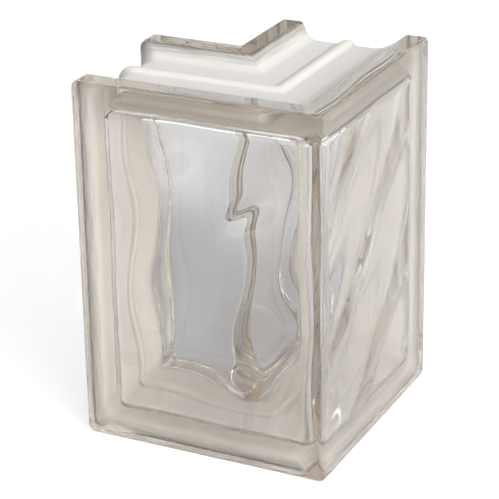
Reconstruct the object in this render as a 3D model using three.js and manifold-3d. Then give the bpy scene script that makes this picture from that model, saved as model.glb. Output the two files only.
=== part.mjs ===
// Corner glass block: a hollow L-shaped block for turning a glass block wall through a right angle.
// It is two pressed glass shells fused along a seam at half their thickness. The outer shell carries
// the two wide outer faces, and the inner shell carries the two narrow faces of the inside corner.
// Every surface is a sheet that runs along one leg of the L, round the fold and along the other leg.
// Units are millimetres, +Z is up, and the origin is at the centre of the base.

import * as THREE from 'three';
import Module from 'manifold-3d';
import { mergeVertices } from 'three/addons/utils/BufferGeometryUtils.js';

const wasm = await Module();
wasm.setup();

// ---- Driving dimensions ----

// Block
const HEIGHT = 190;
const FACE_WIDTH = 132;          // each of the two outer faces, from the fold to the block's end
const THICKNESS = 80;            // from an outer face to the inner face behind it
const SEAM_DEPTH = 40;           // where the two shells are fused, measured from the outer face

// Mortar lips and channel, the same on the top, the bottom and both ends
const LIP_WIDTH = 10.5;          // flat land beside each face
const CHANNEL_DEPTH = 5.8;       // channel floor below the lips
const FLANK_LENGTH = 13;         // hollow slope from a lip down to the channel floor
const RIDGE_RISE = 1.7;          // fused seam above the channel floor
const RIDGE_HALF_TOP = 1.6;      // half of the seam ridge's flat top
const RIDGE_FLANK = 2.4;         // slope at each side of the seam ridge

// Rounded corners and edges
const LIP_CORNER_R = 4.5;        // lip corners, seen square on to a face
const CHANNEL_CORNER_R = 10;     // channel floor at the same corners
const FACE_EDGE_R = 1.2;         // edge between a face and its lip
const LIP_EDGE_R = 0.8;          // edge between a lip and the channel
const OUTER_FOLD_R = 2.5;        // upright outer edge of the block
const INNER_FOLD_R = 1.5;        // upright inside corner

// Glass
const FACE_GLASS = 8;            // mean thickness of a face
const WALL_GLASS = 8.2;          // channel floor to cavity, where the wall meets a face
const WALL_DRAFT_DEG = 2;        // moulding taper that widens the cavity towards the seam
const CAVITY_FILLET_R = 3;       // inside fillet between a face and the walls
const CAVITY_CORNER_R = 6;       // cavity corners, seen square on to a face
const CAVITY_OUTER_FOLD_R = 6;   // cavity behind the outer edge
const CAVITY_INNER_FOLD_R = 4;   // cavity at the inside corner
const SEAM_BEAD_RISE = 0.8;      // low bead of fused glass inside the walls, along the seam
const SEAM_BEAD_HALF = 3;        // half of the bead's width

// Wave relief pressed into the cavity side of the faces. A direction of travel is an angle above the
// horizontal, and a shift is the travel from the fold's foot to a crest.
const RIPPLE = { height: 0.56, length: 49.9, turnDeg: -41.3, shift: 33.9 };
const SWELL = { height: 1.4, length: 80.7, turnDeg: 67, shift: 52.2 };
const UPPER_DROP = { rise: 1.75, radius: 12, fromFold: -34.5, atHeight: 128.6 };
const LOWER_DROP = { rise: 1.8, radius: 14, fromFold: -34.5, atHeight: 50 };
const INNER_RELIEF = 0.4;        // relief of the inner faces against the outer ones

// Facets
const RELIEF_GRID = 6;           // spacing of the relief's grid
const CORNER_STEPS = 4;          // facets in each rounded corner
const FOLD_STEPS = 3;            // facets in each fold
const EDGE_STEPS = 2;            // facets in each small edge radius
const FLANK_STEPS = 5;           // facets in the hollow slope
const FILLET_STEPS = 3;          // facets in the cavity fillet

// ---- Derived sizes ----

const HALF_WIDTH = FACE_WIDTH / 2;
const QUARTER_TURN = Math.PI / 2;
const CUT_PAST_SEAM = 5;         // the cavity cutter runs on past the seam plane
const WALL_TAPER = Math.tan(THREE.MathUtils.degToRad(WALL_DRAFT_DEG));
const CAVITY_INSET = CHANNEL_DEPTH + WALL_GLASS;

const isOuter = (shell) => shell === 'outer';

/** Depth below the outer face of a level that lies `level` behind a shell's own face. */
const depthOf = (shell, level) => (isOuter(shell) ? level : THICKNESS - level);

/** How far the seam lies behind a shell's own face. */
const seamLevel = (shell) => depthOf(shell, SEAM_DEPTH);

/** Plane wave: a cosine of the travel along a slanted direction, past its crest. */
function wave({ height, length, turnDeg, shift }, along, z) {
  const turn = THREE.MathUtils.degToRad(turnDeg);
  const travel = along * Math.cos(turn) + z * Math.sin(turn);
  return height * Math.cos(2 * Math.PI * (travel - shift) / length);
}

/** Round swelling: a bell curve of the distance from its middle. */
function drop({ rise, radius, fromFold, atHeight }, along, z) {
  return rise * Math.exp(-((along - fromFold) ** 2 + (z - atHeight) ** 2) / radius ** 2);
}

/**
 * Relief height at a distance along the sheet from the fold and a height above the base. The outer
 * faces have both waves and both drops. The inner faces have a share of the waves, mirrored.
 */
function reliefHeight(shell, along, z) {
  if (!isOuter(shell)) return INNER_RELIEF * (wave(RIPPLE, -along, z) + wave(SWELL, -along, z));
  return wave(RIPPLE, along, z) + wave(SWELL, along, z)
    + drop(UPPER_DROP, along, z) + drop(LOWER_DROP, along, z);
}

/**
 * Columns of one sheet, from the end of the first leg, round the fold, to the end of the second.
 * Each column has its plan position, its distance along the sheet from the fold, and how far its
 * top and bottom stand in from the block's.
 */
function sheetColumns({ depth, inset, cornerR, foldR, legSteps }) {
  const fold = new THREE.Vector2(HALF_WIDTH - depth, depth - HALF_WIDTH);
  const straight = FACE_WIDTH - depth - inset - foldR;
  const leg = [];
  for (let step = 0; step <= CORNER_STEPS; step++) {
    const angle = QUARTER_TURN * step / CORNER_STEPS;
    leg.push({ fromEnd: cornerR * (1 - Math.cos(angle)), margin: inset + cornerR * (1 - Math.sin(angle)) });
  }
  for (let step = 1; step <= legSteps; step++) {
    leg.push({ fromEnd: THREE.MathUtils.lerp(cornerR, straight, step / legSteps), margin: inset });
  }
  const columns = leg.map(({ fromEnd, margin }) => {
    const along = fromEnd + inset + depth - FACE_WIDTH;
    return { x: fold.x + along, y: fold.y, along, margin };
  });
  for (let step = 1; step < FOLD_STEPS; step++) {
    const angle = QUARTER_TURN * step / FOLD_STEPS;
    const x = fold.x - foldR * (1 - Math.sin(angle));
    const y = fold.y + foldR * (1 - Math.cos(angle));
    columns.push({ x, y, along: (x - fold.x) + (y - fold.y), margin: inset });
  }
  leg.reverse().forEach(({ fromEnd, margin }) => {
    const along = FACE_WIDTH - depth - inset - fromEnd;
    columns.push({ x: fold.x, y: fold.y + along, along, margin });
  });
  return columns;
}

/**
 * One sheet as a grid of points: a list of columns, each a list of points from bottom to top.
 * A share of the relief moves each point of a column to the deeper or shallower sheet there.
 */
function sheetGrid({ shell, level, rows, reliefShare = 0, ...shape }) {
  const columnsAt = (reliefDepth) => sheetColumns({ ...shape, depth: depthOf(shell, level + reliefDepth) });
  return columnsAt(0).map((column, index) => {
    const points = [];
    for (let row = 0; row <= rows; row++) {
      const z = THREE.MathUtils.lerp(column.margin, HEIGHT - column.margin, row / rows);
      const { x, y } = reliefShare > 0
        ? columnsAt(reliefShare * reliefHeight(shell, column.along, z))[index]
        : column;
      points.push(new THREE.Vector3(x, y, z));
    }
    return points;
  });
}

/** Closed solid through a stack of sheets: their borders make its sides and the end sheets close it. */
function loftSheets(sheets) {
  const columns = sheets[0].length;
  const rows = sheets[0][0].length;
  const border = [];
  for (let column = 0; column < columns; column++) border.push([column, 0]);
  for (let row = 1; row < rows; row++) border.push([columns - 1, row]);
  for (let column = columns - 2; column >= 0; column--) border.push([column, rows - 1]);
  for (let row = rows - 2; row > 0; row--) border.push([0, row]);

  const positions = [];
  const quad = (a, b, c, d) => {
    for (const point of [a, b, c, a, c, d]) positions.push(point.x, point.y, point.z);
  };
  const first = sheets[0];
  const last = sheets.at(-1);
  for (let column = 0; column + 1 < columns; column++) {
    for (let row = 0; row + 1 < rows; row++) {
      quad(first[column][row], first[column + 1][row], first[column + 1][row + 1], first[column][row + 1]);
      quad(last[column][row], last[column][row + 1], last[column + 1][row + 1], last[column + 1][row]);
    }
  }
  for (let layer = 0; layer + 1 < sheets.length; layer++) {
    border.forEach(([column, row], index) => {
      const [nextColumn, nextRow] = border[(index + 1) % border.length];
      const near = sheets[layer];
      const far = sheets[layer + 1];
      quad(near[column][row], far[column][row], far[nextColumn][nextRow], near[nextColumn][nextRow]);
    });
  }
  const geometry = new THREE.BufferGeometry();
  geometry.setAttribute('position', new THREE.Float32BufferAttribute(positions, 3));
  return geometry;
}

/** A three.js geometry as a manifold solid. A solid that was lofted inwards is turned right side out. */
function toSolid(geometry, insideOut) {
  const merged = mergeVertices(geometry, 1e-4);
  const triVerts = new Uint32Array(merged.index.array);
  if (insideOut) {
    for (let corner = 0; corner < triVerts.length; corner += 3) {
      [triVerts[corner + 1], triVerts[corner + 2]] = [triVerts[corner + 2], triVerts[corner + 1]];
    }
  }
  const vertProperties = new Float32Array(merged.attributes.position.array);
  return new wasm.Manifold(new wasm.Mesh({ numProp: 3, vertProperties, triVerts }));
}

/** A manifold solid as a three.js geometry with flat facets. */
function toGeometry(solid) {
  const { vertProperties, triVerts } = solid.getMesh();
  const indexed = new THREE.BufferGeometry();
  indexed.setAttribute('position', new THREE.BufferAttribute(vertProperties, 3));
  indexed.setIndex(new THREE.BufferAttribute(triVerts, 1));
  const geometry = indexed.toNonIndexed();
  geometry.computeVertexNormals();
  return geometry;
}

/**
 * Rim section of a shell as points of level behind the face (x) and inset from the lips (y):
 * face edge, lip land, hollow flank, channel floor and half of the seam ridge.
 */
function rimSection(shell) {
  const seam = seamLevel(shell);
  const floorStart = LIP_WIDTH + FLANK_LENGTH;
  const floorEnd = seam - RIDGE_HALF_TOP - RIDGE_FLANK;
  const ridgeInset = CHANNEL_DEPTH - RIDGE_RISE;
  const edge = new THREE.Path();
  edge.absarc(FACE_EDGE_R, FACE_EDGE_R, FACE_EDGE_R, Math.PI, 1.5 * Math.PI, false);
  const lipEdge = new THREE.QuadraticBezierCurve(
    new THREE.Vector2(LIP_WIDTH - LIP_EDGE_R, 0),
    new THREE.Vector2(LIP_WIDTH, 0),
    new THREE.Vector2(LIP_WIDTH + LIP_EDGE_R * 0.8, LIP_EDGE_R * 0.5),
  );
  const flank = new THREE.QuadraticBezierCurve(
    lipEdge.v2,
    new THREE.Vector2(LIP_WIDTH + FLANK_LENGTH * 0.45, CHANNEL_DEPTH * 0.9),
    new THREE.Vector2(floorStart, CHANNEL_DEPTH),
  );
  return [
    ...edge.getPoints(EDGE_STEPS),
    ...lipEdge.getPoints(EDGE_STEPS),
    ...flank.getPoints(FLANK_STEPS).slice(1),
    new THREE.Vector2(floorEnd, CHANNEL_DEPTH),
    new THREE.Vector2(seam - RIDGE_HALF_TOP, ridgeInset),
    new THREE.Vector2(seam, ridgeInset),
  ];
}

/** Corner radius of the rim at one point of its section. */
function rimCornerRadius({ x: level, y: inset }) {
  if (level < FACE_EDGE_R) return LIP_CORNER_R - inset;
  return THREE.MathUtils.lerp(LIP_CORNER_R, CHANNEL_CORNER_R, inset / CHANNEL_DEPTH);
}

/** The glass of one shell before its cavity is pressed. */
function shellBlank(shell) {
  const sheets = rimSection(shell).map((point) => sheetGrid({
    shell,
    level: point.x,
    inset: point.y,
    cornerR: rimCornerRadius(point),
    foldR: THREE.MathUtils.lerp(OUTER_FOLD_R, INNER_FOLD_R, depthOf(shell, point.x) / THICKNESS),
    legSteps: 1,
    rows: 1,
  }));
  return toSolid(loftSheets(sheets), !isOuter(shell));
}

/**
 * The plunger that presses the cavity: a waved face, a fillet and tapered walls, less the glass of the
 * seam's bead. The relief is full on the face and fades down the walls to nothing at the seam.
 */
function shellPlunger(shell) {
  const section = new THREE.Path();
  section.absarc(FACE_GLASS + CAVITY_FILLET_R, CAVITY_INSET + CAVITY_FILLET_R, CAVITY_FILLET_R,
    Math.PI, 1.5 * Math.PI, false);
  const seam = seamLevel(shell);
  const beadStart = seam - SEAM_BEAD_HALF;
  const wallInset = CAVITY_INSET - (beadStart - FACE_GLASS - CAVITY_FILLET_R) * WALL_TAPER;
  section.lineTo(beadStart, wallInset);
  section.lineTo(seam, wallInset + SEAM_BEAD_RISE);
  section.lineTo(seam + CUT_PAST_SEAM, wallInset + SEAM_BEAD_RISE);

  const legLength = FACE_WIDTH - depthOf(shell, FACE_GLASS) - CAVITY_INSET - CAVITY_CORNER_R;
  const legSteps = Math.max(1, Math.round(legLength / RELIEF_GRID));
  const rows = Math.max(1, Math.round((HEIGHT - 2 * CAVITY_INSET) / RELIEF_GRID));
  const sheets = section.getPoints(FILLET_STEPS).map(({ x: level, y: inset }) => sheetGrid({
    shell,
    level,
    inset,
    cornerR: CAVITY_CORNER_R - Math.max(0, inset - CAVITY_INSET),
    foldR: THREE.MathUtils.lerp(CAVITY_OUTER_FOLD_R, CAVITY_INNER_FOLD_R, depthOf(shell, level) / THICKNESS),
    legSteps,
    rows,
    reliefShare: Math.max(0, (seam - level) / (seam - FACE_GLASS)),
  }));
  return toSolid(loftSheets(sheets), !isOuter(shell));
}

/** One pressed shell, with its channel half, its waved faces and its open back at the seam. */
function pressedShell(shell, name, material) {
  const solid = shellBlank(shell).subtract(shellPlunger(shell));
  const mesh = new THREE.Mesh(toGeometry(solid), material);
  mesh.name = name;
  return mesh;
}

// ---- Materials ----

const outerGlass = new THREE.MeshStandardMaterial({
  name: 'pressed soda-lime glass, outer shell',
  color: 0xdedcd4,
  roughness: 0.05,
  metalness: 0,
  transparent: true,
  opacity: 0.4,
});

const innerGlass = outerGlass.clone();
innerGlass.name = 'pressed soda-lime glass, inner shell';

// ---- Block ----

const block = new THREE.Group();
block.name = 'corner_glass_block';
block.add(pressedShell('outer', 'outer_shell', outerGlass));
block.add(pressedShell('inner', 'inner_shell', innerGlass));

export default block;
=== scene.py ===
"""Corner glass block: the fused pressed-glass body, its coated mortar channels, and a studio stage."""

import math

import bpy
import numpy as np
from bpy.props import FloatProperty, FloatVectorProperty, IntProperty, PointerProperty
from bpy.types import Operator, Panel, PropertyGroup
from mathutils import Matrix, Vector


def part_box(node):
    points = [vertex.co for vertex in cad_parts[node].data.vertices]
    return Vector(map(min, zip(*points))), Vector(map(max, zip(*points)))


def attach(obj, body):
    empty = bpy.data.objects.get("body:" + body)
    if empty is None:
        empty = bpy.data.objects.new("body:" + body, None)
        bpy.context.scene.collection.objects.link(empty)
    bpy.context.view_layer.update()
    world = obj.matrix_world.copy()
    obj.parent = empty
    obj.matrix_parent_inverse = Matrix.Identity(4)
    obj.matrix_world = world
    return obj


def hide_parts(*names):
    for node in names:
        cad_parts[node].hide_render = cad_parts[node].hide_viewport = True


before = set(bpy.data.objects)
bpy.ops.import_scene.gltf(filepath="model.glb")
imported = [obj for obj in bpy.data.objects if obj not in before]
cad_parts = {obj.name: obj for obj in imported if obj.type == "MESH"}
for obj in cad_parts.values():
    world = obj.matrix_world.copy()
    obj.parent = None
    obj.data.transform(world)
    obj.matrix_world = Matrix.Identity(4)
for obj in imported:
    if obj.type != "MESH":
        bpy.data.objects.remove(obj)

bl_info = {
    "name": "Corner glass block",
    "version": (1, 0, 0),
    "blender": (4, 5, 0),
    "location": "View3D > Sidebar > Glass block",
    "description": "Builds a right-angled pressed glass block with its finish and a studio stage",
    "category": "Object",
}

OUTER_NODE = "outer_shell"
INNER_NODE = "inner_shell"
BODY = "root"

# Powers of the cosine that shape the sky's three soft lights: the higher, the narrower.
KEY_FOCUS = 10.0
BACK_FOCUS = 6.0
TOP_FOCUS = 10.0
# Half of the floor's width, in metres.
FLOOR_REACH = 3.0
# Light passes many walls of glass, and is mirrored inside them, before it leaves the block.
GLASS_BOUNCES = 32
DIFFUSE_BOUNCES = 16

# Sizes of the coat's streaks and clouds, in metres.
STREAK_LENGTH = 0.020
STREAK_WIDTH = 0.00125
CLOUD_SIZE = 1 / 60
# Shade of the coat's darker clouds, as a share of its colour.
CLOUD_SHADE = 0.97
COAT_ROUGHNESS = 0.55

# Number of steps along the roundings and straights of the two sections.
EDGE_STEPS = 7
ROUND_STEPS = 4
FLANK_STEPS = 16
FILLET_STEPS = 10
WALL_STEPS = 4
BEAD_STEPS = 8

# Rounding between a lip and the channel's flank, as shares of its radius outwards and down.
LIP_END_OUT = 0.8
LIP_END_DOWN = 0.5
# Handle of the hollow flank, as shares of its length and depth.
FLANK_HANDLE_OUT = 0.45
FLANK_HANDLE_DOWN = 0.9
# Points closer than this, in metres, are one.
WELD_STEP = 1e-7
# Keeps a division by a length of zero from failing.
TINY = 1e-20

BLOCK_LOW, BLOCK_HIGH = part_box(OUTER_NODE)
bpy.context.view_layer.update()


# ---- Colours and sizes ----

def linear(hex_colour):
    """An sRGB hex colour such as "#EBE8E4" as linear red, green and blue."""
    srgb = np.array([int(hex_colour[i:i + 2], 16) for i in (1, 3, 5)]) / 255
    return tuple(np.where(srgb <= 0.04045, srgb / 12.92, ((srgb + 0.055) / 1.055) ** 2.4))


def length(name, description, millimetres):
    """A length property in metres, with its default given in millimetres."""
    return FloatProperty(name=name, description=description, default=millimetres / 1000, unit="LENGTH")


def angle(name, description, degrees):
    """An angle property in radians, with its default given in degrees."""
    return FloatProperty(name=name, description=description, default=math.radians(degrees), unit="ROTATION")


def colour(name, description, hex_colour):
    """A colour property, with its default given as an sRGB hex colour."""
    return FloatVectorProperty(
        name=name, description=description, default=linear(hex_colour), subtype="COLOR", min=0, max=1)


class BlockSizes(PropertyGroup):
    """Outer form and glass of the block."""

    height: length("Height", "Height of the block", (BLOCK_HIGH.z - BLOCK_LOW.z) * 1000)
    leg: length("Leg", "Width of each outer face", (BLOCK_HIGH.x - BLOCK_LOW.x) * 1000)
    thickness: length("Thickness", "From an outer face to the inner face behind it", 80)
    lip_width: length("Lip width", "Flat land beside each face", 10.5)
    channel_depth: length("Channel depth", "Channel floor below the lips", 5.8)
    flank_length: length("Flank length", "Hollow slope from a lip to the channel floor", 13)
    ridge_rise: length("Ridge rise", "Fused seam above the channel floor", 1.7)
    ridge_half_top: length("Ridge half top", "Half of the seam ridge's flat top", 1.6)
    ridge_flank: length("Ridge flank", "Slope at each side of the seam ridge", 2.4)
    lip_corner: length("Lip corner", "Radius of the lip corners", 4.5)
    channel_corner: length("Channel corner", "Radius of the channel's corners", 10)
    face_edge: length("Face edge", "Edge radius between a face and its lip", 1.2)
    lip_edge: length("Lip edge", "Edge radius between a lip and the channel", 0.8)
    outer_fold: length("Outer fold", "Radius of the upright outer edge", 2.5)
    inner_fold: length("Inner fold", "Radius of the upright inside corner", 1.5)
    face_glass: length("Face glass", "Mean thickness of a face", 8)
    wall_glass: length("Wall glass", "Channel floor to cavity beside a face", 8.2)
    wall_draft: angle("Wall draft", "Taper that widens the cavity towards the seam", 6)
    cavity_fillet: length("Cavity fillet", "Fillet between a face and the walls", 5)
    cavity_corner: length("Cavity corner", "Radius of the cavity's corners", 6)
    cavity_outer_fold: length("Cavity outer fold", "Radius of the cavity behind the outer edge", 6)
    cavity_inner_fold: length("Cavity inner fold", "Radius of the cavity at the inside corner", 4)
    bead_rise: length("Bead rise", "Bead of fused glass inside the walls, along the seam", 0.8)
    bead_half: length("Bead half", "Half of the bead's width", 3)


class WaveRelief(PropertyGroup):
    """Relief pressed into the cavity side of the faces: a ripple, a swell and two long drops."""

    ripple_height: length("Ripple height", "Crest above the mean surface", 0.72)
    ripple_length: length("Ripple length", "From crest to crest", 49.9)
    ripple_turn: angle("Ripple turn", "Direction of travel above the horizontal", -41.3)
    ripple_shift: length("Ripple shift", "Travel from the fold's foot to a crest", 33.9)
    swell_height: length("Swell height", "Crest above the mean surface", 0.9)
    swell_length: length("Swell length", "From crest to crest", 80.7)
    swell_turn: angle("Swell turn", "Direction of travel above the horizontal", 67)
    swell_shift: length("Swell shift", "Travel from the fold's foot to a crest", 52.2)
    drop_from_fold: length("Drop from fold", "Distance of the drops' middle from the fold", -34.5)
    upper_drop: length("Upper drop", "Height of the upper drop above the base", 133)
    upper_rise: length("Upper rise", "Top of the upper drop above the mean surface", 0.95)
    upper_length: length("Upper length", "Half the drop's length, where it has sunk to a third", 14)
    upper_width: length("Upper width", "Half the drop's width, where it has sunk to a third", 4.5)
    upper_turn: angle("Upper turn", "Direction of the upper drop above the horizontal", 40)
    lower_drop: length("Lower drop", "Height of the lower drop above the base", 44)
    lower_rise: length("Lower rise", "Top of the lower drop above the mean surface", 1.4)
    lower_length: length("Lower length", "Half the drop's length, where it has sunk to a third", 9)
    lower_width: length("Lower width", "Half the drop's width, where it has sunk to a third", 12)
    lower_turn: angle("Lower turn", "Direction of the lower drop above the horizontal", 90)
    inner_share: FloatProperty(
        name="Inner share", description="Relief of the inner faces against the outer",
        default=0.4, subtype="FACTOR", min=0, max=1)
    grid: length("Grid", "Spacing of the relief's points", 1.3)


class GlassFinish(PropertyGroup):
    """Clear glass and the white coat of the channels."""

    ior: FloatProperty(name="IOR", description="Refractive index of soda-lime glass", default=1.52)
    roughness: FloatProperty(name="Roughness", description="Roughness of the pressed glass", default=0.0)
    tint: colour("Tint", "What the glass lets through best", "#EAE3D9")
    tint_density: FloatProperty(
        name="Tint density", description="Absorption for each metre of glass", default=18)
    coat: colour("Coat", "White coat baked on the channels", "#EEECE8")
    coat_thinness: FloatProperty(
        name="Coat thinness", description="Share of light that the coat lets through",
        default=0.12, subtype="FACTOR", min=0, max=1)
    coat_start: length("Coat start", "From a lip to the first of the coat", 0.4)
    coat_edge: length("Coat edge", "From bare glass to the thin coat beside a lip", 1.2)
    coat_fade: length("Coat fade", "From the thin coat to the full one", 8)
    coat_streak: length("Coat streak", "How far streaks shift the full coat", 6)
    coat_thin_cover: FloatProperty(
        name="Thin cover", description="Share of the glass that the thin coat hides",
        default=0.25, subtype="FACTOR", min=0, max=1)


class StudioStage(PropertyGroup):
    """Floor, light and camera."""

    floor: colour("Floor", "Pale grey paper under the block", "#B8B9BC")
    floor_lift: FloatProperty(name="Floor lift", description="Glow that whitens the paper", default=0.6)
    # Glow of the paper that only glass sees is painted light by distance from the block: a faint glow
    # beside it, a painted pool of light behind it and a painted step to white far away.
    near_glow: FloatProperty(name="Near glow", description="Glow of the paper through glass", default=0.05)
    painted_pool_light: FloatProperty(name="Pool glow", description="More of it, behind the block", default=0.22)
    pool_start: length("Pool start", "Distance from the block where the pool's glow starts", 150)
    pool_edge: length("Pool edge", "Way on which it reaches its full strength", 350)
    painted_far_light: FloatProperty(name="Far glow", description="More of it, far from the block", default=0.66)
    far_start: length("Far start", "Distance from the block where the far glow starts", 1050)
    far_edge: length("Far edge", "Way on which it reaches its full strength", 350)
    floor_gap: length("Floor gap", "Air film between the lips and the floor", 0.3)
    key_light: FloatProperty(
        name="Key light", description="Radiance of the sky at the key light", default=12.0)
    key_azimuth: angle("Key azimuth", "Side that the key light comes from, 0 for -Y", 54)
    key_elevation: angle("Key elevation", "Height of the key light", 10)
    back_light: FloatProperty(
        name="Back light", description="Radiance of the sky behind the block", default=0.6)
    back_azimuth: angle("Back azimuth", "Side that the back light comes from, 0 for -Y", 214)
    back_elevation: angle("Back elevation", "Height of the back light", 10)
    top_light: FloatProperty(name="Top light", description="Radiance of the sky overhead", default=3.0)
    surround: FloatProperty(
        name="Surround", description="White backdrop that glass and gloss show", default=0.1)
    camera_azimuth: angle("Camera azimuth", "0 looks along +Y", 26.53)
    camera_elevation: angle("Camera elevation", "Above the horizon", 23.18)
    camera_roll: angle("Camera roll", "Turn about the line of sight", -1.07)
    camera_lens: FloatProperty(
        name="Lens", description="Focal length in millimetres", default=152.9, unit="CAMERA")
    camera_x: length("Camera X", "Place of the camera", 440.7)
    camera_y: length("Camera Y", "Place of the camera", -891.8)
    camera_z: length("Camera Z", "Place of the camera", 512.8)


# ---- Surfaces ----

def bezier(start, handle, end, steps):
    """Points of a quadratic curve: the square-weighted mean of its start, handle and end."""
    t = np.linspace(0, 1, steps + 1)[:, None]
    return (1 - t) ** 2 * np.array(start) + 2 * t * (1 - t) * np.array(handle) + t ** 2 * np.array(end)


def quarter(radius, steps):
    """Quarter circle from (0, radius) to (radius, 0), with its centre at (radius, radius)."""
    turn = np.linspace(0, math.pi / 2, steps + 1)
    return np.stack([radius * (1 - np.cos(turn)), radius * (1 - np.sin(turn))], axis=1)


def rim_section(sizes):
    """Rim of one shell as rows of level behind the face, inset from the lips and corner radius."""
    seam = sizes.thickness / 2
    lip, edge = sizes.lip_width, sizes.lip_edge
    ridge = sizes.channel_depth - sizes.ridge_rise
    lip_end = (lip + edge * LIP_END_OUT, edge * LIP_END_DOWN)
    floor_start = lip + sizes.flank_length
    ridge_start = seam - sizes.ridge_half_top - sizes.ridge_flank
    ridge_top = seam - sizes.ridge_half_top
    soft = sizes.ridge_flank / 2
    flank_handle = (lip + sizes.flank_length * FLANK_HANDLE_OUT, sizes.channel_depth * FLANK_HANDLE_DOWN)
    points = np.concatenate([
        quarter(sizes.face_edge, EDGE_STEPS),
        bezier((lip - edge, 0), (lip, 0), lip_end, ROUND_STEPS),
        bezier(lip_end, flank_handle, (floor_start, sizes.channel_depth), FLANK_STEPS)[1:],
        bezier((ridge_start - soft, sizes.channel_depth), (ridge_start, sizes.channel_depth),
               (ridge_start + soft, sizes.channel_depth - sizes.ridge_rise / 2), ROUND_STEPS),
        bezier((ridge_top - soft, ridge + sizes.ridge_rise / 2), (ridge_top, ridge),
               (ridge_top + soft, ridge), ROUND_STEPS)[1:],
        [(seam, ridge)],
    ])
    level, inset = points.T
    grown = sizes.lip_corner + (sizes.channel_corner - sizes.lip_corner) * inset / sizes.channel_depth
    corner = np.where(level < sizes.face_edge, sizes.lip_corner - inset, grown)
    return np.stack([level, inset, corner], axis=1)


def cavity_section(sizes):
    """Cavity wall of one shell as rows of level behind the face, inset from the lips and corner radius.

    The wall is a straight taper, and the half of the seam's bead on it is half a cosine wave.
    """
    seam = sizes.thickness / 2
    inset_at_face = sizes.channel_depth + sizes.wall_glass
    fillet = quarter(sizes.cavity_fillet, FILLET_STEPS) + (sizes.face_glass, inset_at_face)
    wall_start = sizes.face_glass + sizes.cavity_fillet
    bead_start = seam - sizes.bead_half
    wall_level = np.concatenate([
        np.linspace(wall_start, bead_start, WALL_STEPS + 1)[1:],
        np.linspace(bead_start, seam, BEAD_STEPS + 1)[1:]])
    taper = np.minimum(wall_level, bead_start) - wall_start
    bead = np.maximum(0, wall_level - bead_start) / sizes.bead_half
    wall_inset = (inset_at_face - taper * math.tan(sizes.wall_draft)
                  + sizes.bead_rise * (1 - np.cos(math.pi * bead)) / 2)
    points = np.concatenate([fillet, np.stack([wall_level, wall_inset], axis=1)])
    corner = sizes.cavity_corner - np.maximum(0, points[:, 1] - inset_at_face)
    return np.column_stack([points, corner])


def both_halves(section, thickness):
    """A section of one shell followed by its mirror image about the seam."""
    mirrored = section[-2::-1] * (-1, 1, 1) + (thickness, 0, 0)
    return np.concatenate([section, mirrored])


def half_columns(corner_steps, leg_steps, fold_steps):
    """Columns of one leg: angle round the end corner, share of the straight run, angle round the fold."""
    right = math.pi / 2
    corner = np.linspace(0, right, corner_steps + 1)
    run = np.linspace(0, 1, leg_steps + 1)[1:]
    fold = np.linspace(0, right / 2, fold_steps + 1)[1:]
    return np.stack([
        np.concatenate([corner, np.full(leg_steps + fold_steps, right)]),
        np.concatenate([np.zeros(corner_steps + 1), run, np.ones(fold_steps)]),
        np.concatenate([np.zeros(corner_steps + 1 + leg_steps), fold]),
    ])


def sheet(sizes, depth, inset, corner_r, fold_r, columns, rows, relief=None):
    """One sheet of the L as a grid of points: first leg, fold, second leg, each from bottom to top.

    A column's distance from the leg's end is the corner radius times one minus the cosine of its corner
    angle, plus its share of the straight run, and the fold is a quarter circle. Its height runs from the
    inset plus the corner radius times one minus the sine of the corner angle to the same below the top.
    The second leg is the first mirrored about the plane through the fold. A relief, which depends on the
    distance along the sheet from the fold and on the height, moves each point to the sheet that lies that
    much deeper.
    """
    corner, run, fold = (part[:, None] for part in columns)
    half = sizes.leg / 2
    margin = inset + corner_r * (1 - np.sin(corner))
    z = margin + (sizes.height - 2 * margin) * np.linspace(0, 1, rows + 1)[None, :]

    def place(at_depth):
        straight = sizes.leg - at_depth - inset - fold_r
        from_end = corner_r * (1 - np.cos(corner)) + (straight - corner_r) * run
        x = inset - half + from_end + fold_r * np.sin(fold)
        y = at_depth - half + fold_r * (1 - np.cos(fold))
        return x, y

    def leg(side):
        x, y = place(depth)
        if relief is not None:
            x, y = place(depth + relief(side * (x + y), z))
        shape = np.broadcast_shapes(x.shape, z.shape)
        return np.stack([np.broadcast_to(part, shape) for part in (x, y, z)], axis=-1)

    first = leg(1)
    second = leg(-1)[..., (1, 0, 2)] * (-1, -1, 1)
    return np.concatenate([first, second[-2::-1]])


def border(grid):
    """The closed border of a grid of points: bottom, far side, top, near side."""
    return np.concatenate([grid[:, 0], grid[-1, 1:], grid[-2::-1, -1], grid[0, -2:0:-1]])


def grid_quads(columns, rows, first=0):
    """Quads of a grid whose points are numbered column by column."""
    corner = (np.arange(columns - 1)[:, None] * rows + np.arange(rows - 1)[None, :]).ravel() + first
    return np.stack([corner, corner + rows, corner + rows + 1, corner + 1], axis=1)


def ring_quads(rings, points, first=0):
    """Quads between closed rings whose points are numbered ring by ring."""
    ring = np.arange(rings - 1)[:, None] * points
    here = np.arange(points)[None, :]
    onward = (here + 1) % points
    quads = np.stack([ring + here, ring + points + here, ring + points + onward, ring + onward], axis=-1)
    return quads.reshape(-1, 4) + first


def closed_skin(sheets):
    """Points and quads of a closed skin: the first and last sheets, and the borders of them all between."""
    near, far = sheets[0], sheets[-1]
    rings = np.stack([border(grid) for grid in sheets])
    counts = np.cumsum([0, near[..., 0].size, far[..., 0].size])
    points = np.concatenate([near.reshape(-1, 3), far.reshape(-1, 3), rings.reshape(-1, 3)])
    quads = np.concatenate([
        grid_quads(*near.shape[:2], counts[0]),
        grid_quads(*far.shape[:2], counts[1])[:, ::-1],
        ring_quads(rings.shape[0], rings.shape[1], counts[2]),
    ])
    ring_of = np.concatenate([
        np.full((near.shape[0] - 1) * (near.shape[1] - 1), -1),
        np.full((far.shape[0] - 1) * (far.shape[1] - 1), -1),
        np.repeat(np.arange(rings.shape[0] - 1), rings.shape[1]),
    ])
    return points, quads, ring_of


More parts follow.
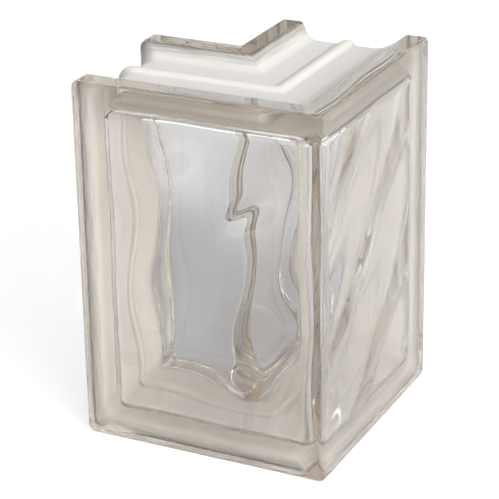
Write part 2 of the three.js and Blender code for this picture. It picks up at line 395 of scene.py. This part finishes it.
def welded(points, quads):
    """The same skin with points at one place, to a tenth of a micrometre, made one."""
    steps = np.round(points / WELD_STEP).astype(np.int64)
    _, first, same = np.unique(steps, axis=0, return_index=True, return_inverse=True)
    return points[first], same.ravel()[quads]


def area_normals(points, quads):
    """Point normals as the sum of the crossed diagonals of the quads that meet there."""
    a, b, c, d = (points[quads[:, k]] for k in range(4))
    facet = np.cross(c - a, d - b)
    normals = np.zeros_like(points)
    for k in range(4):
        np.add.at(normals, quads[:, k], facet)
    return normals / np.maximum(np.linalg.norm(normals, axis=1, keepdims=True), TINY)


def wave(height, wavelength, turn, shift, along, z):
    """Plane wave: a cosine of the travel along a slanted direction, past a crest at the shift."""
    travel = along * math.cos(turn) + z * math.sin(turn)
    return height * np.cos(2 * math.pi * (travel - shift) / wavelength)


def drop(rise, half_length, half_width, turn, from_fold, at_height, along, z):
    """Long swelling: a bell curve of the distance from its middle, turned by an angle."""
    across, up = along - from_fold, z - at_height
    lengthwise = across * math.cos(turn) + up * math.sin(turn)
    sideways = up * math.cos(turn) - across * math.sin(turn)
    return rise * np.exp(-(lengthwise / half_length) ** 2 - (sideways / half_width) ** 2)


def wave_field(waves, level, sizes):
    """Relief at a level behind the outer face: full on the faces, and fading down the walls to the seam.

    The outer faces have the ripple, the swell and the two drops. The inner faces have a share of the
    ripple and the swell, mirrored about the fold.
    """
    seam = sizes.thickness / 2
    side = 1 if level < seam else -1
    share = abs(level - seam) / (seam - sizes.face_glass)

    def relief(along, z):
        across = side * along
        ripple = wave(waves.ripple_height, waves.ripple_length, waves.ripple_turn,
                      waves.ripple_shift, across, z)
        swell = wave(waves.swell_height, waves.swell_length, waves.swell_turn,
                     waves.swell_shift, across, z)
        if side < 0:
            return -share * waves.inner_share * (ripple + swell)
        upper = drop(waves.upper_rise, waves.upper_length, waves.upper_width, waves.upper_turn,
                     waves.drop_from_fold, waves.upper_drop, across, z)
        lower = drop(waves.lower_rise, waves.lower_length, waves.lower_width, waves.lower_turn,
                     waves.drop_from_fold, waves.lower_drop, across, z)
        return share * (ripple + swell + upper + lower)

    return relief


def fold_radius(outer, inner, depth, thickness):
    """Fold radius at a depth, on a straight line from the outer fold's to the inner fold's."""
    return outer + (inner - outer) * depth / thickness


def body_skin(sizes):
    """Outside of the fused block, with the ring number that each quad lies in."""
    columns = half_columns(corner_steps=12, leg_steps=1, fold_steps=6)
    sheets = [
        sheet(sizes, level, inset, corner,
              fold_radius(sizes.outer_fold, sizes.inner_fold, level, sizes.thickness), columns, rows=1)
        for level, inset, corner in both_halves(rim_section(sizes), sizes.thickness)
    ]
    return closed_skin(sheets)


def cavity_skin(sizes, waves):
    """Inside of the fused block, facing into the cavity."""
    inset = sizes.channel_depth + sizes.wall_glass
    leg_steps = round((sizes.leg - inset - sizes.cavity_corner) / waves.grid)
    rows = round((sizes.height - 2 * inset) / waves.grid)
    columns = half_columns(corner_steps=8, leg_steps=leg_steps, fold_steps=6)
    section = both_halves(cavity_section(sizes), sizes.thickness)
    sheets = []
    for level, inset, corner in section:
        relief = wave_field(waves, level, sizes)
        fold = fold_radius(sizes.cavity_outer_fold, sizes.cavity_inner_fold, level, sizes.thickness)
        sheets.append(sheet(sizes, level, inset, corner, fold, columns, rows, relief))
    points, quads, _ = closed_skin(sheets)
    return points, quads[:, ::-1]


def coated_rings(sizes):
    """Numbers of the first and last rings of the body that the coat covers."""
    level = both_halves(rim_section(sizes), sizes.thickness)[:, 0]
    start = sizes.lip_width + sizes.lip_edge / 2
    covered = np.flatnonzero((level > start) & (level < sizes.thickness - start))
    return covered[0], covered[-1] - 1


def channel_place(points, sizes):
    """Way along the mortar channel and distance past the nearer lip, for each point.

    The depth of a point is its distance from the nearer outer face, and the nearer lip is the one on the
    same side of the seam.
    """
    x, y, z = points.T
    half = sizes.leg / 2
    depth = np.minimum(y + half, half - x)
    past_lip = np.minimum(depth, sizes.thickness - depth) - sizes.lip_width
    along = np.where(x + y < 0, x, y) + z
    return np.stack([along, past_lip, np.zeros_like(x)], axis=1)


def mesh_piece(name, points, quads, slots, materials):
    """A smooth mesh object with exact normals, one material index for each quad."""
    mesh = bpy.data.meshes.new(name)
    mesh.vertices.add(len(points))
    mesh.vertices.foreach_set("co", points.astype(np.float32).ravel())
    mesh.loops.add(quads.size)
    mesh.loops.foreach_set("vertex_index", quads.astype(np.int32).ravel())
    mesh.polygons.add(len(quads))
    mesh.polygons.foreach_set("loop_start", np.arange(0, quads.size, 4, dtype=np.int32))
    mesh.polygons.foreach_set("loop_total", np.full(len(quads), 4, np.int32))
    mesh.polygons.foreach_set("material_index", slots.astype(np.int32))
    mesh.polygons.foreach_set("use_smooth", np.ones(len(quads), bool))
    for material in materials:
        mesh.materials.append(material)
    mesh.update(calc_edges=True)
    mesh.validate()
    mesh.normals_split_custom_set_from_vertices(area_normals(points, quads))
    piece = bpy.data.objects.new(name, mesh)
    bpy.context.scene.collection.objects.link(piece)
    return piece


# ---- Materials ----

def add_node(tree, kind, inputs=None, links=(), **settings):
    """Adds a node, sets its settings and inputs, and links other nodes' outputs into its inputs."""
    node = tree.nodes.new(kind)
    for name, value in settings.items():
        setattr(node, name, value)
    for name, value in (inputs or {}).items():
        node.inputs[name].default_value = value
    for source, output, name in links:
        tree.links.new(source.outputs[output], node.inputs[name])
    return node


def new_material(name):
    """An empty node material."""
    material = bpy.data.materials.new(name)
    material.use_nodes = True
    material.node_tree.nodes.clear()
    return material


def rgba(value):
    """A colour with an alpha of one."""
    return (*value, 1)


def glass_volume(tree, finish):
    """What the glass takes off the light on its way through."""
    return add_node(tree, "ShaderNodeVolumeAbsorption", {
        "Color": rgba(finish.tint), "Density": finish.tint_density})


def clear_glass(tree, finish):
    """Surface of the glass."""
    return add_node(tree, "ShaderNodeBsdfPrincipled", {
        "Base Color": (1, 1, 1, 1), "Roughness": finish.roughness, "IOR": finish.ior,
        "Transmission Weight": 1.0})


def pressed_glass(finish):
    """Soda-lime glass, pressed hot and fire polished: clear, glossy, faintly warm through its thickness."""
    material = new_material("pressed_soda_lime_glass")
    tree = material.node_tree
    shader = clear_glass(tree, finish)
    volume = glass_volume(tree, finish)
    add_node(tree, "ShaderNodeOutputMaterial", links=[
        (shader, "BSDF", "Surface"), (volume, "Volume", "Volume")])
    return material


def white_coat(finish):
    """White vinyl coat, sprayed on the channels and baked: matt, faintly uneven, thin beside the lips.

    The thin coat passes into the full one in streaks that run along the channel. A little light comes
    through the full coat too, so the cavity's walls glow softly from behind.
    """
    material = new_material("baked_white_coat")
    tree = material.node_tree
    place = add_node(tree, "ShaderNodeTexCoord")
    cloud = add_node(tree, "ShaderNodeTexNoise", {"Scale": 1 / CLOUD_SIZE, "Detail": 3.0},
                     [(place, "Object", "Vector")])
    shade = add_node(tree, "ShaderNodeMixRGB", {
        "Color1": rgba(finish.coat), "Color2": rgba([part * CLOUD_SHADE for part in finish.coat])},
        [(cloud, "Fac", "Fac")])
    paint = add_node(tree, "ShaderNodeBsdfPrincipled", {
        "Roughness": COAT_ROUGHNESS, "Specular IOR Level": 0.0}, [(shade, "Color", "Base Color")])
    glow = add_node(tree, "ShaderNodeBsdfTranslucent", links=[(shade, "Color", "Color")])
    thin = add_node(tree, "ShaderNodeMixShader", {"Fac": finish.coat_thinness}, [
        (paint, "BSDF", 1), (glow, "BSDF", 2)])
    channel = add_node(tree, "ShaderNodeAttribute", attribute_name="channel")
    from_lip = add_node(tree, "ShaderNodeSeparateXYZ", links=[(channel, "Vector", "Vector")])
    stretched = add_node(tree, "ShaderNodeVectorMath", {1: (1 / STREAK_LENGTH, 1 / STREAK_WIDTH, 1.0)},
                         [(channel, "Vector", 0)], operation="MULTIPLY")
    streak = add_node(tree, "ShaderNodeTexNoise", {"Scale": 1.0, "Detail": 2.0}, [
        (stretched, "Vector", "Vector")])
    edge = add_node(tree, "ShaderNodeMath", {1: finish.coat_streak}, [
        (streak, "Fac", 0), (from_lip, "Y", 2)], operation="MULTIPLY_ADD")
    first = add_node(tree, "ShaderNodeMapRange", {
        "From Min": finish.coat_start, "From Max": finish.coat_start + finish.coat_edge},
        [(from_lip, "Y", "Value")])
    full = add_node(tree, "ShaderNodeMapRange", {
        "From Min": finish.coat_streak / 2, "From Max": finish.coat_streak / 2 + finish.coat_fade,
        "To Min": finish.coat_thin_cover}, [(edge, "Value", "Value")])
    cover = add_node(tree, "ShaderNodeMath", links=[(first, "Result", 0), (full, "Result", 1)],
                     operation="MULTIPLY")
    bare = clear_glass(tree, finish)
    coated = add_node(tree, "ShaderNodeMixShader", links=[
        (cover, "Value", 0), (bare, "BSDF", 1), (thin, "Shader", 2)])
    volume = glass_volume(tree, finish)
    add_node(tree, "ShaderNodeOutputMaterial", links=[
        (coated, "Shader", "Surface"), (volume, "Volume", "Volume")])
    return material


def studio_floor(stage):
    """Pale matt paper, which keeps the block's shadow and is lifted to white for the eye and for gloss.

    Through glass it is grey beside the block, where only a faint glow lies over its real shadow, and rises
    to white further away in two soft steps of painted light: a painted pool of light, then a painted far
    glow.
    """
    material = new_material("studio_paper")
    tree = material.node_tree
    paper = add_node(tree, "ShaderNodeBsdfDiffuse", {"Color": rgba(stage.floor)})
    path = add_node(tree, "ShaderNodeLightPath")
    direct = add_node(tree, "ShaderNodeMath", links=[
        (path, "Is Camera Ray", 0), (path, "Is Glossy Ray", 1)], operation="MAXIMUM")
    seen = add_node(tree, "ShaderNodeMath", links=[
        (direct, "Value", 0), (path, "Is Transmission Ray", 1)], operation="MAXIMUM")
    place = add_node(tree, "ShaderNodeTexCoord")
    away = add_node(tree, "ShaderNodeVectorMath", links=[(place, "Object", "Vector")], operation="LENGTH")

    def glow_from(start, edge, strength):
        return add_node(tree, "ShaderNodeMapRange", {
            "From Min": start, "From Max": start + edge, "To Max": strength},
            [(away, "Value", "Value")], interpolation_type="SMOOTHSTEP")

    # Painted pool of light and painted far step to white, by distance from the block, on the paper as glass
    # sees it.
    pool = glow_from(stage.pool_start, stage.pool_edge, stage.painted_pool_light)
    far = glow_from(stage.far_start, stage.far_edge, stage.painted_far_light)
    steps = add_node(tree, "ShaderNodeMath", links=[(pool, "Result", 0), (far, "Result", 1)])
    through = add_node(tree, "ShaderNodeMath", {1: stage.near_glow}, [(steps, "Value", 0)])
    lift = add_node(tree, "ShaderNodeMix", {"A": stage.floor_lift}, [
        (path, "Is Transmission Ray", "Factor"), (through, "Value", "B")])
    shown = add_node(tree, "ShaderNodeMath", links=[
        (seen, "Value", 0), (lift, "Result", 1)], operation="MULTIPLY")
    glow = add_node(tree, "ShaderNodeEmission", {"Color": (1, 1, 1, 1)}, [(shown, "Value", "Strength")])
    both = add_node(tree, "ShaderNodeAddShader", links=[(paper, "BSDF", 0), (glow, "Emission", 1)])
    add_node(tree, "ShaderNodeOutputMaterial", links=[(both, "Shader", "Surface")])
    return material


# ---- Operators ----

class MESH_OT_fused_block(Operator):
    """Build the glass body with its cavity, wave relief and coated channels"""

    bl_idname = "mesh.fused_block"
    bl_label = "Fused glass block"

    def execute(self, context):
        scene = context.scene
        sizes, waves, finish = scene.block_sizes, scene.wave_relief, scene.glass_finish
        body, body_quads, ring = body_skin(sizes)
        cavity, cavity_quads = cavity_skin(sizes, waves)
        first, last = coated_rings(sizes)
        slots = np.concatenate([(ring >= first) & (ring <= last), np.zeros(len(cavity_quads), bool)])
        points, quads = welded(
            np.concatenate([body, cavity]), np.concatenate([body_quads, cavity_quads + len(body)]))
        piece = mesh_piece("fused_block", points, quads, slots,
                           [pressed_glass(finish), white_coat(finish)])
        channel = piece.data.attributes.new("channel", "FLOAT_VECTOR", "POINT")
        channel.data.foreach_set("vector", channel_place(points, sizes).astype(np.float32).ravel())
        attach(piece, BODY)
        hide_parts(OUTER_NODE, INNER_NODE)
        return {"FINISHED"}


def facing(azimuth, elevation):
    """Direction from the block, with an azimuth of 0 towards -Y."""
    flat = math.cos(elevation)
    return Vector((math.sin(azimuth) * flat, -math.cos(azimuth) * flat, math.sin(elevation)))


class SCENE_OT_studio_stage(Operator):
    """Build the floor, the soft light and the camera"""

    bl_idname = "scene.studio_stage"
    bl_label = "Studio stage"

    def execute(self, context):
        stage = context.scene.studio_stage
        self.add_floor(stage)
        self.add_light(context.scene, stage)
        self.add_camera(context.scene, stage)
        context.scene.view_settings.view_transform = "Standard"
        cycles = context.scene.cycles
        cycles.max_bounces = GLASS_BOUNCES
        cycles.transmission_bounces = GLASS_BOUNCES
        cycles.glossy_bounces = GLASS_BOUNCES
        cycles.diffuse_bounces = DIFFUSE_BOUNCES
        cycles.blur_glossy = 0.0
        return {"FINISHED"}

    def add_floor(self, stage):
        """One square sheet, an air film below the lips."""
        corners = np.array([(-1, -1, 0), (1, -1, 0), (1, 1, 0), (-1, 1, 0)]) * FLOOR_REACH
        corners[:, 2] = -stage.floor_gap
        mesh = bpy.data.meshes.new("floor")
        mesh.from_pydata(corners.tolist(), [], [(0, 1, 2, 3)])
        mesh.materials.append(studio_floor(stage))
        floor = bpy.data.objects.new("floor", mesh)
        bpy.context.scene.collection.objects.link(floor)

    def add_light(self, scene, stage):
        """A sky that is the sum of three lights, each a power of the cosine to its own direction.

        Gloss and glass see a faint white backdrop besides.
        """
        world = bpy.data.worlds.new("white_studio")
        scene.world = world
        world.use_nodes = True
        tree = world.node_tree
        tree.nodes.clear()
        way = add_node(tree, "ShaderNodeTexCoord")
        lobes = (
            (stage.key_light, facing(stage.key_azimuth, stage.key_elevation), KEY_FOCUS),
            (stage.back_light, facing(stage.back_azimuth, stage.back_elevation), BACK_FOCUS),
            (stage.top_light, Vector((0, 0, 1)), TOP_FOCUS),
        )
        sky = None
        for radiance, side, focus in lobes:
            cosine = add_node(tree, "ShaderNodeVectorMath", {1: side}, [(way, "Generated", 0)],
                              operation="DOT_PRODUCT")
            ahead = add_node(tree, "ShaderNodeMath", {1: 0.0}, [(cosine, "Value", 0)], operation="MAXIMUM")
            spread = add_node(tree, "ShaderNodeMath", {1: focus}, [(ahead, "Value", 0)], operation="POWER")
            lobe = add_node(tree, "ShaderNodeMath", {1: radiance, 2: 0.0}, [(spread, "Value", 0)],
                            operation="MULTIPLY_ADD")
            if sky is not None:
                tree.links.new(sky.outputs["Value"], lobe.inputs[2])
            sky = lobe
        path = add_node(tree, "ShaderNodeLightPath")
        shown = add_node(tree, "ShaderNodeMath", links=[
            (path, "Is Glossy Ray", 0), (path, "Is Transmission Ray", 1)], operation="MAXIMUM")
        sky = add_node(tree, "ShaderNodeMath", {1: stage.surround}, [
            (shown, "Value", 0), (sky, "Value", 2)], operation="MULTIPLY_ADD")
        light = add_node(tree, "ShaderNodeBackground", {"Color": (1, 1, 1, 1)}, [
            (sky, "Value", "Strength")])
        add_node(tree, "ShaderNodeOutputWorld", links=[(light, "Background", "Surface")])

    def add_camera(self, scene, stage):
        """A camera whose axes are right, up and back, from its azimuth, elevation and roll."""
        back = facing(stage.camera_azimuth, stage.camera_elevation)
        level = Vector((math.cos(stage.camera_azimuth), math.sin(stage.camera_azimuth), 0))
        upright = back.cross(level)
        right = level * math.cos(stage.camera_roll) + upright * math.sin(stage.camera_roll)
        camera = bpy.data.cameras.new("camera")
        camera.lens = stage.camera_lens
        holder = bpy.data.objects.new("camera", camera)
        scene.collection.objects.link(holder)
        turn = Matrix([right, back.cross(right), back]).transposed()
        place = Vector((stage.camera_x, stage.camera_y, stage.camera_z))
        holder.matrix_world = Matrix.Translation(place) @ turn.to_4x4()
        scene.camera = holder


class VIEW3D_PT_corner_block(Panel):
    """Sizes, finishes and steps of the corner glass block."""

    bl_label = "Corner glass block"
    bl_space_type = "VIEW_3D"
    bl_region_type = "UI"
    bl_category = "Glass block"

    def draw(self, context):
        for group in (context.scene.block_sizes, context.scene.wave_relief,
                      context.scene.glass_finish, context.scene.studio_stage):
            box = self.layout.box()
            for name in group.__annotations__:
                box.prop(group, name)
        self.layout.operator(MESH_OT_fused_block.bl_idname)
        self.layout.operator(SCENE_OT_studio_stage.bl_idname)


GROUPS = {"block_sizes": BlockSizes, "wave_relief": WaveRelief, "glass_finish": GlassFinish,
          "studio_stage": StudioStage}
CLASSES = (*GROUPS.values(), MESH_OT_fused_block, SCENE_OT_studio_stage, VIEW3D_PT_corner_block)


def register():
    for cls in CLASSES:
        bpy.utils.register_class(cls)
    for name, group in GROUPS.items():
        setattr(bpy.types.Scene, name, PointerProperty(type=group))


def unregister():
    for name in GROUPS:
        delattr(bpy.types.Scene, name)
    for cls in reversed(CLASSES):
        bpy.utils.unregister_class(cls)


def main():
    register()
    bpy.ops.scene.studio_stage()
    bpy.ops.mesh.fused_block()


if __name__ == "__main__":
    main()
